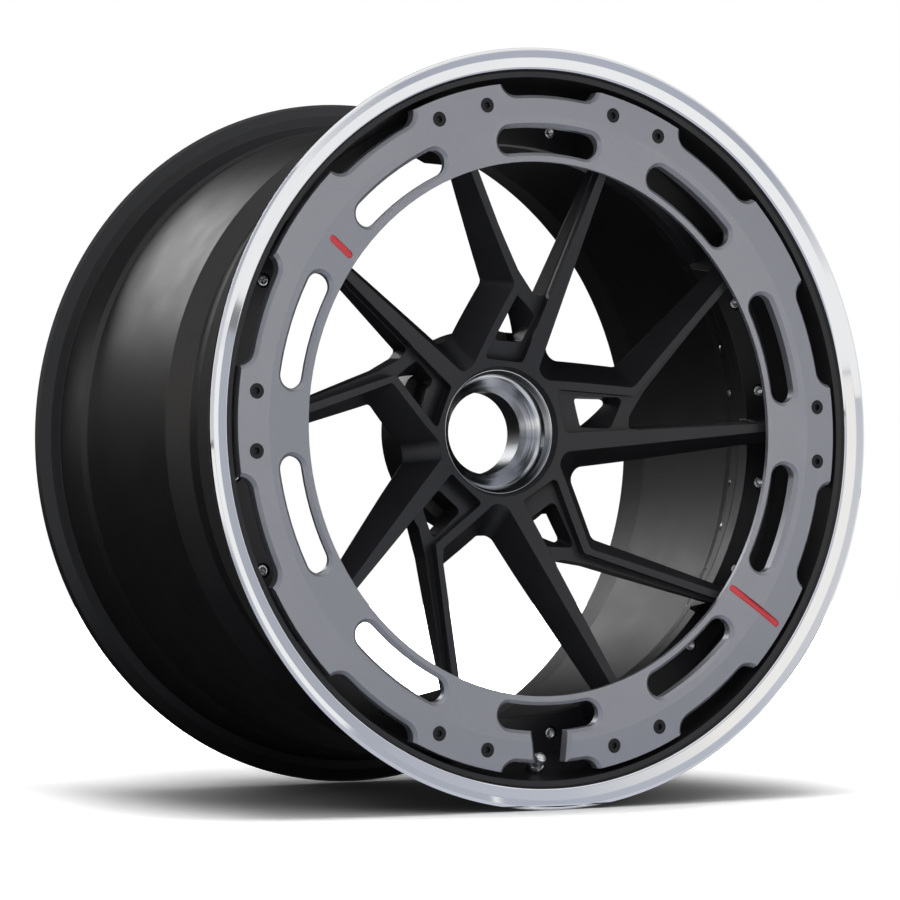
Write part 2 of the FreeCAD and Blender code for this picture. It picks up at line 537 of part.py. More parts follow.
# Slotted ring: turned plate, ten slots and ten notches, a gap for the valve, screw holes, enamel grooves.
ring = new_body("aero_ring")
spin(ring, "ring_turn", [
    ("ring_outer", "ring_face_y"), ("ring_crease", "ring_face_y"), ("ring_inner", "ring_inner_y"),
    ("ring_inner", "ring_inner_back_y"), ("ring_back", "ring_back_y"), ("ring_outer", "ring_back_y")])
cuts = []
for cutter in ("slot", "notch"):
    sketch = new_sketch(ring, f"{cutter}_plan", "XZ_Plane")
    arc_slot(sketch, cutter)
    cuts.append(sink(ring, f"{cutter}_cut", sketch))
around(ring, "ring_slots", cuts, 10)
sketch = new_sketch(ring, "valve_gap_plan", "XZ_Plane")
outline(sketch, [("gap_wide_left", "gap_top"), ("gap_narrow_left", "gap_foot"),
                 ("gap_narrow", "gap_foot"), ("gap_wide", "gap_top")])
sink(ring, "valve_gap", sketch)
sketch = new_sketch(ring, "screw_plan", "XZ_Plane")
circles(sketch, screw_names, "screw_hole")
holes = sink(ring, "screw_holes", sketch)


def is_screw_rim(edge):
    curve = edge.Curve
    return curve.TypeId == "Part::GeomCircle" and curve.Radius < 4 and abs(curve.Center.y) < 0.01


holes = dress(ring, "screw_sinks", "PartDesign::Chamfer", holes, is_screw_rim, "screw_sink")


def front_edge(edge):
    """True for the front edges of slots, notches and gap, false for the plate's own turned edges."""
    middle = edge.valueAt((edge.FirstParameter + edge.LastParameter) / 2)
    radius = math.hypot(middle.x, middle.z)
    face = max(0.0, (SIZES["ring_crease"] - radius) * face_slope)
    own = min(abs(radius - SIZES[name]) for name in ("ring_inner", "ring_crease", "ring_outer"))
    short_arc = edge.Length < 40 and edge.Curve.TypeId == "Part::GeomCircle"
    near_screw = short_arc and abs(radius - SIZES["screw_circle"]) < 7
    return abs(middle.y - face) < 0.05 and own > 0.05 and not near_screw


bevels = dress(ring, "slot_bevels", "PartDesign::Chamfer", holes, front_edge, "ring_bevel")
for mark in ("short", "long"):
    sketch = new_sketch(ring, f"{mark}_groove_plan", "XZ_Plane")
    pill(sketch, mark_names[mark], "mark_half")
    sink(ring, f"{mark}_groove", sketch, "Sizes.mark_floor_y")

# Red enamel: fills of the two grooves, trimmed a little under the ring's face.
for mark in ("short", "long"):
    fill = new_body(f"red_mark_{mark}")
    sketch = new_sketch(fill, f"{mark}_fill_plan", "XZ_Plane", "mark_floor_y")
    pill(sketch, mark_names[mark], "mark_half")
    raise_pad(fill, f"{mark}_fill", sketch, "Sizes.mark_floor_y")
    spin(fill, f"{mark}_trim", [
        ("trim_in", "trim_front_y"), ("trim_out", "trim_front_y"), ("trim_out", "trim_face_y"),
        ("ring_crease", "trim_face_y"), ("trim_in", "trim_in_y")], "PartDesign::Groove")

# Hub insert: rim, seat cone for the centre nut, bore for the hub.
insert = new_body("hub_insert")
spin(insert, "insert_turn", [
    ("hub_bore", "insert_face_y"), ("insert_rim", "insert_rim_y"), ("cone_out", "cone_out_y"),
    ("bore", "cone_in_y"), ("bore", "hub_back_y"), ("hub_bore", "hub_back_y")])
doc.recompute()


def primitive(kind, label, sizes, base=None, rotation=None):
    """A plain solid whose sizes and place are formulas of the sheet."""
    solid = doc.addObject(kind, label)
    solid.Label = label
    if rotation:
        solid.Placement = FreeCAD.Placement(FreeCAD.Vector(0, 0, 0), rotation)
    for key, formula in sizes.items():
        solid.setExpression(key, formula)
    for axis, formula in (base or {}).items():
        solid.setExpression(f"Placement.Base.{axis}", formula)
    return solid


def joined(kind, label, first, second):
    result = doc.addObject(kind, label)
    result.Label = label
    result.Base = first
    result.Tool = second
    return result


def group(label, master, angles, radius):
    """Separate copies of one solid that stands on the axle, moved out to a circle at clock angles."""
    doc.recompute()
    copies = []
    for angle in angles:
        copy = master.Shape.copy()
        out = FreeCAD.Vector(math.sin(math.radians(angle)), 0, math.cos(math.radians(angle))) * SIZES[radius]
        copy.rotate(FreeCAD.Vector(0, 0, 0), FreeCAD.Vector(0, 1, 0), angle)
        copy.translate(out)
        copies.append(copy)
    item = doc.addObject("Part::Feature", label)
    item.Label = label
    item.Shape = Part.makeCompound(copies)
    item.Placement = FreeCAD.Placement()
    return item


# Fasteners stand along the axle; their local Z is turned inboard.
INBOARD = FreeCAD.Rotation(FreeCAD.Vector(1, 0, 0), -90)
head = primitive("Part::Cone", "screw_cone", {"Radius1": "Sizes.screw_head", "Radius2": "Sizes.screw_shank",
                 "Height": "Sizes.screw_head - Sizes.screw_shank"}, {"y": "Sizes.screw_plane"}, INBOARD)
shank = primitive("Part::Cylinder", "screw_rod", {"Radius": "Sizes.screw_shank",
                  "Height": "Sizes.screw_end_y"}, {"y": "Sizes.screw_plane"}, INBOARD)
whole = joined("Part::Fuse", "screw_whole", head, shank)
ring_screws = group("ring_screws", whole, screw_angles, "screw_circle")

head = primitive("Part::Prism", "bolt_hex", {"Circumradius": "Sizes.bolt_head",
                 "Height": "Sizes.flange_front_y + Sizes.bolt_seat_depth - Sizes.bolt_head_y"},
                 {"y": "Sizes.screw_plane + Sizes.bolt_head_y"}, INBOARD)
head.Polygon = 6
shank = primitive("Part::Cylinder", "bolt_rod", {"Radius": "Sizes.bolt_shank",
                  "Height": "Sizes.bolt_end_y - Sizes.bolt_head_y"},
                  {"y": "Sizes.screw_plane + Sizes.bolt_head_y"}, INBOARD)
bolt_angles = [9.0 + 18.0 * i for i in range(20)]
whole = joined("Part::Fuse", "bolt_whole", head, shank)
assembly_bolts = group("assembly_bolts", whole, bolt_angles, "bolt_circle")

block = primitive("Part::Prism", "nut_hex", {"Circumradius": "Sizes.bolt_head",
                  "Height": "Sizes.nut_back_y - Sizes.barrel_flange_y"},
                  {"y": "Sizes.screw_plane + Sizes.barrel_flange_y"}, INBOARD)
block.Polygon = 6
hole = primitive("Part::Cylinder", "nut_hole", {"Radius": "Sizes.bolt_shank", "Height": "50"},
                 {"y": "Sizes.screw_plane + Sizes.flange_back_y"}, INBOARD)
whole = joined("Part::Cut", "nut_whole", block, hole)
assembly_nuts = group("assembly_nuts", whole, bolt_angles, "bolt_circle")

head = primitive("Part::Cylinder", "rear_head", {"Radius": "Sizes.bolt_head",
                 "Height": "Sizes.rear_head_back_y - Sizes.barrel_flange_y"},
                 {"y": "Sizes.screw_plane + Sizes.barrel_flange_y"}, INBOARD)
shank = primitive("Part::Cylinder", "rear_rod", {"Radius": "Sizes.bolt_shank",
                  "Height": "Sizes.rear_head_back_y - Sizes.rear_start_y"},
                  {"y": "Sizes.screw_plane + Sizes.rear_start_y"}, INBOARD)
rear_angles = [18.0 * i for i in range(20)]
whole = joined("Part::Fuse", "rear_whole", head, shank)
rear_bolts = group("rear_bolts", whole, rear_angles, "bolt_circle")

tube = primitive("Part::Cylinder", "bush_tube", {"Radius": "Sizes.bush_outer", "Height": "Sizes.bush_depth"},
                 {"y": "Sizes.screw_plane + Sizes.hub_back_y - Sizes.bush_depth"}, INBOARD)
hole = primitive("Part::Cylinder", "bush_hole", {"Radius": "Sizes.bush_bore", "Height": "Sizes.bush_depth"},
                 {"y": "Sizes.screw_plane + Sizes.hub_back_y - Sizes.bush_depth"}, INBOARD)
bush_angles = [90.0 + SIZES["pin_turn"] + PAIR_TURN * i for i in range(PAIRS)]
whole = joined("Part::Cut", "bush_whole", tube, hole)
drive_bushes = group("drive_bushes", whole, bush_angles, "pin_circle")

# Tyre valve: everything stands on one leaning line that crosses the lip wall.
LEAN = FreeCAD.Rotation(FreeCAD.Vector(1, 0, 0), SIZES["valve_tilt"])


def on_valve(along):
    """Place on the valve's line, as formulas, a distance out from the lip wall."""
    return {"y": f"Sizes.screw_plane + Sizes.valve_y - ({along}) * sin(Sizes.valve_tilt * 1 deg)",
            "z": f"Sizes.valve_z + ({along}) * cos(Sizes.valve_tilt * 1 deg)"}


def valve_rod(label, radius, start, high, kind="Part::Cylinder"):
    key = "Radius" if kind == "Part::Cylinder" else "Circumradius"
    return primitive(kind, label, {key: radius, "Height": high}, on_valve(start), LEAN)


lip_hole = valve_rod("valve_hole", "Sizes.grommet", "-Sizes.grommet_in - 10", "Sizes.grommet_in + 30")
outer_lip = joined("Part::Cut", "outer_lip", lip_body, lip_hole)
plug = valve_rod("grommet_plug", "Sizes.grommet", "-Sizes.grommet_in", "Sizes.grommet_in + Sizes.grommet_out")
core = valve_rod("grommet_bore", "Sizes.stem", "-Sizes.grommet_in - 5", "Sizes.grommet_in + 30")
valve_grommet = joined("Part::Cut", "valve_grommet", plug, core)
valve_stem = valve_rod("valve_stem", "Sizes.stem", "-Sizes.stem_in", "Sizes.stem_long")
nut_block = valve_rod("valve_nut_hex", "Sizes.valve_nut", "Sizes.grommet_out", "Sizes.valve_nut_high",
                      "Part::Prism")
nut_block.Polygon = 6
nut_core = valve_rod("valve_nut_bore", "Sizes.stem", "0", "30")
valve_nut = joined("Part::Cut", "valve_nut", nut_block, nut_core)
cap_block = valve_rod("cap_block", "Sizes.cap", "Sizes.cap_at", "Sizes.cap_long")
cap_core = valve_rod("cap_bore", "Sizes.stem", "0", "Sizes.stem_long - Sizes.stem_in")
valve_cap = joined("Part::Cut", "valve_cap", cap_block, cap_core)
doc.recompute()

for item in doc.Objects:
    if "Invalid" in item.State or "Error" in item.State:
        raise RuntimeError(f"{item.Name} did not build: {item.State}")

LABELS = ["outer_lip", "inner_barrel", "rim_seal", "centre_disc", "aero_ring", "ring_screws",
          "assembly_bolts", "assembly_nuts", "rear_bolts", "hub_insert", "drive_bushes", "valve_grommet",
          "valve_stem", "valve_nut", "valve_cap", "red_mark_short", "red_mark_long"]
os.makedirs("parts", exist_ok=True)
for label in LABELS:
    item = doc.getObjectsByLabel(label)[0]
    shape = item.Shape
    if shape.isNull() or not shape.isValid():
        raise RuntimeError(f"{label} is not a sound solid")
    shape.exportStep(f"parts/{label}.step")
    box = shape.BoundBox
    print(label, len(shape.Solids), round(shape.Volume), [round(n, 2) for n in (
        box.XMin, box.XMax, box.YMin, box.YMax, box.ZMin, box.ZMax)])
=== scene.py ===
# %% [markdown]
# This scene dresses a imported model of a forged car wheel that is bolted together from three
# pieces: a polished outer lip, a black inner barrel and a black forged centre with five pairs of
# spokes. A slotted grey ring plate lies over the feet of the spokes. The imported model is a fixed
# frame, so each piece made here is already in its place: the axle runs along Y, the show face
# looks along -Y and Z is up. Profiles are in millimetres, as on a drawing, and meshes in metres.

import bmesh
import bpy
import numpy as np
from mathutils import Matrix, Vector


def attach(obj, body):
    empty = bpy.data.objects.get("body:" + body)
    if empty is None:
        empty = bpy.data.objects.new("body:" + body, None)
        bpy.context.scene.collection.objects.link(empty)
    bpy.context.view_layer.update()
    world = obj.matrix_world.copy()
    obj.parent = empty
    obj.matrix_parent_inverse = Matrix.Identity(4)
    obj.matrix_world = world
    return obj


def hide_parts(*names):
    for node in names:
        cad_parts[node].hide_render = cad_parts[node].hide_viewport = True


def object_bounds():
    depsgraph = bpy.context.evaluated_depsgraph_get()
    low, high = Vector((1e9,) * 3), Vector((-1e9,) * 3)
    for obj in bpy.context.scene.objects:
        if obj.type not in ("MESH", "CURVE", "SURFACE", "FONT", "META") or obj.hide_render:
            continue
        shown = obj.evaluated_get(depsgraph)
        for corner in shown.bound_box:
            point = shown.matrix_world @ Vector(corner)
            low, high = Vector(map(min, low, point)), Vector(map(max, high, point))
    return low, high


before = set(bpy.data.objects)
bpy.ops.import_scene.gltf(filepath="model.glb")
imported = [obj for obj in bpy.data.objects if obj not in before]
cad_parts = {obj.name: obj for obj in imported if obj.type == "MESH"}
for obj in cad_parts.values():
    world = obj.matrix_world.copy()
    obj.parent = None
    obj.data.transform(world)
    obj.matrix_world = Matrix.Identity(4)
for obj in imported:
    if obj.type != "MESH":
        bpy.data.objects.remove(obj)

MM = 1000.0  # millimetres in a metre
cad_low, cad_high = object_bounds()
scene = bpy.context.scene
scene.view_settings.view_transform = "Standard"
print("frame box in mm", *(np.round(np.array(end) * MM, 1) for end in (cad_low, cad_high)))

# %% [markdown]
# The photograph was taken with a long lens, from the left of the wheel and a little below the
# axle. An aiming constraint could point the camera, but the angles are known, so they are set as
# plain numbers.

# %% Camera
YAW, PITCH = -29.22, 2.00
camera = bpy.data.objects.new("camera", bpy.data.cameras.new("camera"))
scene.collection.objects.link(camera)
camera.location = (-1.2061, -2.1592, -0.0980)
camera.rotation_euler = (np.radians(90.0 + PITCH), 0.0, np.radians(YAW))
camera.data.lens = 124.92
camera.data.sensor_width = 36.0
scene.camera = camera
print("camera at", tuple(round(x, 4) for x in camera.location))

# %% [markdown]
# Colours are written as sRGB hex values, the way a paint card gives them, and shaders need them
# linear. One function does that, and one more adds a node to a material with its settings and
# links, so each finish below reads as a short list of what it is made of.


# %% Colour and node helpers
def linear(code):
    """sRGB hex to linear: c / 12.92 below 0.04045, and ((c + 0.055) / 1.055) ** 2.4 above."""
    c = np.array([int(code[i:i + 2], 16) for i in (1, 3, 5)]) / 255.0
    return (*np.where(c <= 0.04045, c / 12.92, ((c + 0.055) / 1.055) ** 2.4), 1.0)


def add(tree, kind, inputs=None, stops=(), **settings):
    """Adds a node; settings are its properties, inputs are numbers or the sockets that feed it,
    and stops are the places and colours of a ramp."""
    node = tree.nodes.new("ShaderNode" + kind)
    if stops:
        bar = node.color_ramp.elements
        bar[0].position, bar[1].position = stops[0][0], stops[-1][0]
        bar[0].color, bar[1].color = linear(stops[0][1]), linear(stops[-1][1])
        for place, code in stops[1:-1]:
            bar.new(place).color = linear(code)
    for name, value in settings.items():
        setattr(node, name, value)
    for key, value in (inputs or {}).items():
        if isinstance(value, bpy.types.NodeSocket):
            tree.links.new(value, node.inputs[key])
        else:
            node.inputs[key].default_value = value
    return node


def new_finish(name):
    """An empty material; returns it, its node tree, its surface input and Object coordinates in
    mm."""
    finish = bpy.data.materials.new(name)
    finish.use_nodes = True
    tree = finish.node_tree
    tree.nodes.clear()
    out = add(tree, "OutputMaterial")
    place = add(tree, "TexCoord").outputs["Object"]
    mm = add(tree, "Mapping", {"Vector": place, "Scale": (MM, MM, MM)}).outputs[0]
    return finish, tree, out.inputs["Surface"], mm


print("grey card #808080 is linear", round(float(linear("#808080")[0]), 3))

# %% [markdown]
# The lip is forged aluminium, turned and then polished until it mirrors the room. What stops it
# from looking like glass is the trace of the polishing wheel: very fine rings about the axle that
# smear each reflection a little. The rings follow the distance from the axle plus the place along
# it, so they run on over every curve of the lip.


# %% Polished aluminium
def ring_lines(tree, mm, spacing):
    """Noise in rings about the axle: its one coordinate is (distance from the axle + 0.7 y) /
    spacing."""
    flat = add(tree, "VectorMath", {0: mm, 1: (1.0, 0.0, 1.0)}, operation="MULTIPLY").outputs[0]
    radius = add(tree, "VectorMath", {0: flat}, operation="LENGTH").outputs["Value"]
    along = add(tree, "SeparateXYZ", {0: mm}).outputs["Y"]
    run = add(tree, "Math", {0: along, 1: 0.7, 2: radius}, operation="MULTIPLY_ADD").outputs[0]
    w = add(tree, "Math", {0: run, 1: spacing}, operation="DIVIDE").outputs[0]
    noise = add(tree, "TexNoise", {"W": w, "Scale": 1.0, "Detail": 3.0}, noise_dimensions="1D")
    return noise.outputs["Fac"]


# polishing rings are a few hundredths of a mm apart; 1.5 mm is as fine as the render can show
POLISH_RINGS, POLISH_HAZE = 1.5, 45.0
polished, tree, surface, mm = new_finish("polished_forged_aluminium")
lines = ring_lines(tree, mm, POLISH_RINGS)
haze = add(tree, "TexNoise", {"Vector": mm, "Scale": 1 / POLISH_HAZE, "Detail": 2.0})
rough = add(tree, "MapRange", {0: haze.outputs["Fac"], 3: 0.035, 4: 0.085}).outputs[0]
bump = add(tree, "Bump", {"Height": lines, "Strength": 0.02, "Distance": 0.0002}).outputs[0]
shader = add(tree, "BsdfPrincipled", {"Base Color": linear("#E9EAEC"), "Metallic": 1.0,
                                      "Roughness": rough, "Normal": bump})
tree.links.new(shader.outputs[0], surface)
print("made", polished.name)

# %% [markdown]
# The barrel and the centre wear a satin black coat. It is nearly black, but a wide soft sheen
# follows every curve, and close up the coat has a faint orange peel. The coat is sprayed, so
# edges are a touch rounder than the metal under it: a bevel node turns the shading over at each
# edge without touching the solid.


# %% Satin coats
PEEL, CLOUD = 0.9, 30.0  # size of the orange peel and of cloudy patches in the sheen, in mm
NOISE_SPAN = {1: 0.3, 2: 0.7}  # noise seldom leaves this range, so it is spread from there


def satin_coat(name, code, metal, rough_low, rough_high, edge):
    """A sprayed coat: orange peel in its tone and relief, cloudy roughness, and edges that look
    rounded by edge mm."""
    finish, tree, surface, mm = new_finish(name)
    peel = add(tree, "TexNoise", {"Vector": mm, "Scale": 1 / PEEL, "Detail": 2.0}).outputs["Fac"]
    cloud = add(tree, "TexNoise", {"Vector": mm, "Scale": 1 / CLOUD, "Detail": 3.0}).outputs["Fac"]
    rough = add(tree, "MapRange", {0: cloud, **NOISE_SPAN, 3: rough_low, 4: rough_high})
    tint = np.array(linear(code))
    shades = {"Fac": peel, "Color1": tuple(tint * 0.88), "Color2": tuple(tint * 1.12)}
    colour = add(tree, "MixRGB", shades).outputs[0]
    bend = add(tree, "Bevel", {"Radius": edge / MM}, samples=4).outputs[0]
    bump = add(tree, "Bump", {"Height": peel, "Strength": 0.05, "Distance": 0.0003,
                              "Normal": bend}).outputs[0]
    shader = add(tree, "BsdfPrincipled", {"Base Color": colour, "Metallic": metal,
                                          "Roughness": rough.outputs[0], "Normal": bump})
    tree.links.new(shader.outputs[0], surface)
    return finish


# the centre is a shade lighter than the barrel, so its spokes stand out from the drum behind them
black_centre = satin_coat("satin_black_coat_on_forged_centre", "#17171A", 0.0, 0.36, 0.44, 0.7)
black_barrel = satin_coat("satin_black_coat_on_barrel", "#101012", 0.0, 0.39, 0.45, 0.4)
# metal flakes in the grey coat let the plate go from light to dark as it turns to the light
grey_plate = satin_coat("satin_grey_metallic_coat", "#93949A", 0.75, 0.36, 0.44, 0.35)
# the bead seat is so matt that it shows no clear reflection
black_seat = satin_coat("matt_black_coat_on_bead_seat", "#0B0B0C", 0.0, 0.72, 0.80, 0.4)
print("made", black_centre.name, black_barrel.name, grey_plate.name, black_seat.name)

# %% [markdown]
# Small parts have plain workshop finishes: bright nickel plate on the front bolts and the valve,
# black oxide on the ring screws, ground steel on the bushes and on the nuts and cap screws
# behind. Rubber and red enamel complete the list. Apart from their colour they differ in how
# rough and how grainy they are, so one function makes them all.


# %% Small-part finishes
def plain_finish(name, code, metal, rough_low, rough_high, grain, lift, **extra):
    """A finish with grain of the given size in mm, in its tone, in its roughness and, times lift,
    in its relief."""
    finish, tree, surface, mm = new_finish(name)
    speck = add(tree, "TexNoise", {"Vector": mm, "Scale": 1.0 / grain, "Detail": 3.0})
    speck = speck.outputs["Fac"]
    rough = add(tree, "MapRange", {0: speck, **NOISE_SPAN, 3: rough_low, 4: rough_high})
    bump = add(tree, "Bump", {"Height": speck, "Strength": lift, "Distance": 0.0002}).outputs[0]
    tint = np.array(linear(code))
    shades = {"Fac": speck, "Color1": tuple(tint * 0.9), "Color2": tuple(tint * 1.1)}
    colour = add(tree, "MixRGB", shades).outputs[0]
    shader = add(tree, "BsdfPrincipled", {"Base Color": colour, "Metallic": metal,
                                          "Roughness": rough.outputs[0], "Normal": bump, **extra})
    tree.links.new(shader.outputs[0], surface)
    return finish


# nickel plate: small bright glints; black oxide: a dull, oily dark; ground steel: an even grey
nickel = plain_finish("bright_nickel_plate", "#DCDDDF", 0.85, 0.12, 0.22, 2.0, 0.05)
oxide = plain_finish("black_oxide_steel", "#2A2A2C", 0.8, 0.30, 0.42, 1.2, 0.10)
ground = plain_finish("ground_steel", "#8D8E90", 1.0, 0.28, 0.36, 1.0, 0.10)
# rubber: dry, with no clear reflection; enamel: a clear red under a wet gloss
rubber = plain_finish("moulded_rubber", "#1A1A1A", 0.0, 0.60, 0.75, 0.8, 0.25)
enamel = plain_finish("red_gloss_enamel", "#C4222C", 0.0, 0.16, 0.24, 1.5, 0.05,
                      **{"Coat Weight": 0.4})
print("made", nickel.name, oxide.name, ground.name, rubber.name, enamel.name)

# %% [markdown]
# The hub insert is fine-turned aluminium. The tool leaves a groove at each turn, and such grooves
# throw the light out in fans, as a record does. An anisotropic shader that follows the turning
# gives part of that; the rest is painted reflection: bright and dark tones drawn into the colour
# round the axle.

# %% Turned aluminium
# tool marks are about 0.1 mm apart; they are drawn at 0.8 mm, so that the render can show them
TOOL_MARKS = 0.8
turned, tree, surface, mm = new_finish("turned_aluminium")
lines = ring_lines(tree, mm, TOOL_MARKS)
rough = add(tree, "MapRange", {0: lines, **NOISE_SPAN, 3: 0.13, 4: 0.25}).outputs[0]
bump = add(tree, "Bump", {"Height": lines, "Strength": 0.45, "Distance": 0.0002}).outputs[0]
along = add(tree, "Tangent", direction_type="UV_MAP", uv_map="turning").outputs[0]
# the turn about the axle is 0 and 1 at the bottom and 0.5 at the top
side = add(tree, "SeparateXYZ", {0: mm}).outputs
plan = add(tree, "CombineXYZ", {"X": side["Z"], "Y": side["X"]}).outputs[0]
turn = add(tree, "TexGradient", {"Vector": plan}, gradient_type="RADIAL").outputs["Fac"]
# painted reflections: bright and dark fans of tone round the axle, drawn into the base colour
painted_reflection_fans = add(tree, "ValToRGB", {"Fac": turn}, stops=[
    (0.0, "#C8C9CC"), (0.14, "#9FA1A5"), (0.26, "#FFFFFF"), (0.40, "#A6A8AC"), (0.47, "#FFFFFF"),
    (0.71, "#FFFFFF"), (0.765, "#B6B8BC"), (0.81, "#F2F3F4"), (0.90, "#94969A"),
    (1.0, "#C8C9CC")]).outputs[0]
mark = add(tree, "MixRGB", {"Fac": lines, "Color1": linear("#DCDDDF"),
                            "Color2": linear("#FFFFFF")}).outputs[0]
colour = add(tree, "MixRGB", {"Fac": 1.0, "Color1": painted_reflection_fans, "Color2": mark}, blend_type="MULTIPLY")
shader = add(tree, "BsdfPrincipled", {"Base Color": colour.outputs[0], "Metallic": 1.0,
                                      "Roughness": rough, "Anisotropic": 0.4, "Normal": bump,
                                      "Tangent": along})
tree.links.new(shader.outputs[0], surface)
print("made", turned.name)

# %% [markdown]
# Most of the wheel is turned on a lathe, so most pieces are a profile carried round the axle. A
# modelled edge loop with a Screw modifier would do, but a polished surface shows the slightest
# dent in its shading. Here each corner of a profile gets a true arc, and the surface gets the
# arc's own normals, so that a mirror finish stays clean.


# %% Rounded profiles
POINTS_PER_CORNER = 7


def rounded(corners):
    """Closed outline with an arc at each corner (r, y, R). With unit vectors a and b from corner P
    to its neighbours and half angle h between them, the arc's centre is
    P + (a + b) / |a + b| R / sin h and it runs from P + a R / tan h to P + b R / tan h. Returns
    the points and their outward normals."""
    corner = np.array(corners, float)
    at, radius = corner[:, :2], corner[:, 2:]
    a, b = np.roll(at, 1, 0) - at, np.roll(at, -1, 0) - at
    a /= np.linalg.norm(a, axis=1, keepdims=True)
    b /= np.linalg.norm(b, axis=1, keepdims=True)
    half = np.arccos(np.clip((a * b).sum(1, keepdims=True), -1, 1)) / 2
    middle = (a + b) / np.linalg.norm(a + b, axis=1, keepdims=True)
    centre = at + middle * radius / np.sin(half)
    start = (at + a * radius / np.tan(half) - centre)[:, None]
    stop = (at + b * radius / np.tan(half) - centre)[:, None]
    sweep = (np.pi - 2 * half)[:, None]
    share = np.linspace(0, 1, POINTS_PER_CORNER)[None, :, None]
    arc = (np.sin((1 - share) * sweep) * start + np.sin(share * sweep) * stop) / np.sin(sweep)
    area = np.sum(at[:, 0] * np.roll(at[:, 1], -1) - np.roll(at[:, 0], -1) * at[:, 1])
    bulge = np.sign((a[:, 1] * b[:, 0] - a[:, 0] * b[:, 1]) * area)[:, None, None]
    points, normals = centre[:, None] + arc, arc / radius[:, None] * bulge
    return points.reshape(-1, 2), normals.reshape(-1, 2)


trial = [(0, 0, 1), (10, 0, 1), (10, 10, 1), (0, 10, 1)]
print("a square of 10 mm with 1 mm rounds has", len(rounded(trial)[0]), "profile points")

# %% [markdown]
# A grid of points becomes a mesh in three lists: the points, the corners of each face and where
# each face starts. Faces could be added one by one, but filling the lists as whole arrays is
# faster and shorter. The new object stays at the origin and is told which part of the frame it
# moves with, which finish it wears and which solids it stands for.


# %% From grid to mesh
def grid_faces(rows, columns, close_rows=True):
    """Quads of a grid whose columns run round and close: rows i and i + 1, columns j and j + 1."""
    last = rows if close_rows else rows - 1
    i, j = np.meshgrid(np.arange(last), np.arange(columns), indexing="ij")
    down, right = (i + 1) % rows, (j + 1) % columns
    ends = [i * columns + j, down * columns + j, down * columns + right, i * columns + right]
    return np.stack(ends, -1).reshape(-1, 4)


def piece(name, points, faces, finish, slot, *stands_for):
    """Puts points in mm and quads into a mesh at the origin, dressed, riding on the frame."""
    mesh = bpy.data.meshes.new(name)
    mesh.vertices.add(len(points))
    mesh.vertices.foreach_set("co", (points / MM).astype(np.float32).ravel())
    mesh.loops.add(faces.size)
    mesh.loops.foreach_set("vertex_index", faces.astype(np.int32).ravel())
    mesh.polygons.add(len(faces))
    mesh.polygons.foreach_set("loop_start", np.arange(0, faces.size, 4, dtype=np.int32))
    mesh.polygons.foreach_set("use_smooth", np.ones(len(faces), bool))
    mesh.update(calc_edges=True)
    mesh.materials.append(finish)
    thing = bpy.data.objects.new(name, mesh)
    scene.collection.objects.link(thing)
    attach(thing, "root")
    if stands_for:
        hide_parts(*stands_for)
    print(name, len(faces), "quads")
    return thing


print("a closed grid of 3 by 4 points has", len(grid_faces(3, 4)), "quads")

# %% [markdown]
# Turning needs two more helpers. One carries a rounded profile round the axle and lays a UV map
# along the turning, which the tool marks of the hub insert follow. The other gives some rows of a
# turned piece another finish, as a painter does who masks the rest.


# %% Turning and coating
DATUM = -158.5  # where the drawing's zero along the axle lies in the frame, in mm


def turned_piece(name, corners, steps, finish, slot, *stands_for):
    """Carries a rounded profile round the axle: (r, y) at turn t goes to (r sin t, y, r cos t)."""
    outline, slant = rounded(corners)
    t = np.linspace(0, 2 * np.pi, steps, endpoint=False)[None, :]
    r, y = outline[:, :1], outline[:, 1:] + DATUM
    points = np.stack([r * np.sin(t), y + 0 * t, r * np.cos(t)], -1).reshape(-1, 3)
    u, v = slant[:, :1], slant[:, 1:]
    normals = np.stack([u * np.sin(t), v + 0 * t, u * np.cos(t)], -1).reshape(-1, 3)
    faces = grid_faces(len(outline), steps)
    corner = points[faces]
    facing = np.cross(corner[:, 2] - corner[:, 0], corner[:, 3] - corner[:, 1])
    if (facing * normals[faces].mean(1)).sum() < 0:
        faces = faces[:, ::-1]
    thing = piece(name, points, faces, finish, slot, *stands_for)
    thing.data.normals_split_custom_set_from_vertices(normals.tolist())
    turn = np.tile(np.arange(steps) / steps, len(outline))
    run = np.repeat(np.arange(len(outline)) / len(outline), steps)
    layer = thing.data.uv_layers.new(name="turning")
    index = np.empty(len(thing.data.loops), np.int32)
    thing.data.loops.foreach_get("vertex_index", index)
    uv = np.stack([turn[index], run[index]], -1)
    layer.data.foreach_set("uv", uv.astype(np.float32).ravel())
    return thing


def coat(thing, profile, first, last, finish):
    """Gives the rows of a turned piece from one corner of its profile up to another a finish of
    their own; the row of a face is its number divided by the number of faces round the turn."""
    mesh = thing.data
    if finish.name not in mesh.materials:
        mesh.materials.append(finish)
    index = np.empty(len(mesh.polygons), np.int32)
    mesh.polygons.foreach_get("material_index", index)
    row = np.arange(len(index)) // (len(index) // (POINTS_PER_CORNER * len(profile)))
    chosen = (row >= POINTS_PER_CORNER * first) & (row < POINTS_PER_CORNER * last)
    index[chosen] = mesh.materials.find(finish.name)
    mesh.polygons.foreach_set("material_index", index)
    print(finish.name, "on", POINTS_PER_CORNER * (last - first), "rows of", thing.name)


print("drawing zero at", DATUM, "mm along the axle")

# %% [markdown]
# The outer lip is one ring of aluminium: a bolt flange, a long coned wall that goes out to the
# show face, a narrow step, and the polished flare that catches the light. Behind the flare sit
# the bead seat and the hump that hold the tyre. That side is coated matt black, because polish
# there would only help the tyre to slip, and the coned wall and the step are coated like the
# barrel, so the rows of the grid that lie on them take those finishes.

